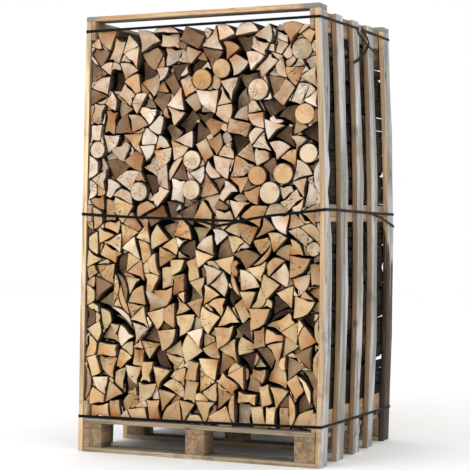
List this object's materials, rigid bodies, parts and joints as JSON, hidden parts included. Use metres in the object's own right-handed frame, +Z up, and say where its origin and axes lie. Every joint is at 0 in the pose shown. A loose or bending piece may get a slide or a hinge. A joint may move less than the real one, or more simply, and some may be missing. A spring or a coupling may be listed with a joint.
{
  "type": "crate of firewood",
  "caption": "Tall slatted timber crate on a wooden pallet, open at front and back, packed with split firewood logs and held by black straps.",
  "frame": {"origin": "on the ground, under the middle of the crate's outer box", "axes": "+X to the right along the open front, +Y into the depth away from the front, +Z up"},
  "size_m": [1.2805, 1.006, 2.1],
  "materials": {
    "pallet_wood": "rough sawn, weathered grey-brown",
    "board_wood": "rough sawn, weathered grey faces, tan edges",
    "rail_wood": "rough sawn, fresh tan",
    "black_band": "satin polyester band",
    "steel_seal": "dull blue-grey steel",
    "firewood": "sawn ends, split faces and bark"
  },
  "bodies": {
    "root": {"pallet_bottom_board_1": "pallet_wood", "pallet_bottom_board_2": "pallet_wood", "pallet_bottom_board_3": "pallet_wood", "pallet_block_1": "pallet_wood", "pallet_block_2": "pallet_wood", "pallet_block_3": "pallet_wood", "pallet_block_4": "pallet_wood", "pallet_block_5": "pallet_wood", "pallet_block_6": "pallet_wood", "pallet_block_7": "pallet_wood", "pallet_block_8": "pallet_wood", "pallet_block_9": "pallet_wood", "pallet_stringer_1": "pallet_wood", "pallet_stringer_2": "pallet_wood", "pallet_stringer_3": "pallet_wood", "pallet_deck_board_1": "pallet_wood", "pallet_deck_board_2": "pallet_wood", "pallet_deck_board_3": "pallet_wood", "pallet_deck_board_4": "pallet_wood", "pallet_deck_board_5": "pallet_wood", "left_board_1": "board_wood", "left_board_2": "board_wood", "left_board_3": "board_wood", "left_board_4": "board_wood", "left_board_5": "board_wood", "right_board_1": "board_wood", "right_board_2": "board_wood", "right_board_3": "board_wood", "right_board_4": "board_wood", "right_board_5": "board_wood", "left_rail_lower": "rail_wood", "left_rail_middle": "rail_wood", "left_rail_upper": "rail_wood", "right_rail_lower": "rail_wood", "right_rail_middle": "rail_wood", "right_rail_upper": "rail_wood", "top_rail_front": "rail_wood", "top_rail_back": "rail_wood", "strap_top": "black_band", "strap_middle": "black_band", "strap_middle_second": "black_band", "strap_bottom": "black_band", "strap_top_seal": "steel_seal", "firewood_front_row": "firewood", "firewood_middle_row": "firewood", "firewood_back_row": "firewood", "loose_log_front_1": "firewood", "loose_log_front_2": "firewood", "loose_log_front_3": "firewood", "loose_log_front_4": "firewood", "loose_log_front_5": "firewood", "loose_log_front_6": "firewood", "loose_log_middle_1": "firewood", "loose_log_middle_2": "firewood", "loose_log_middle_3": "firewood", "loose_log_middle_4": "firewood", "loose_log_back_1": "firewood", "loose_log_back_2": "firewood", "loose_log_back_3": "firewood", "loose_log_back_4": "firewood"}
  },
  "joints": []
}
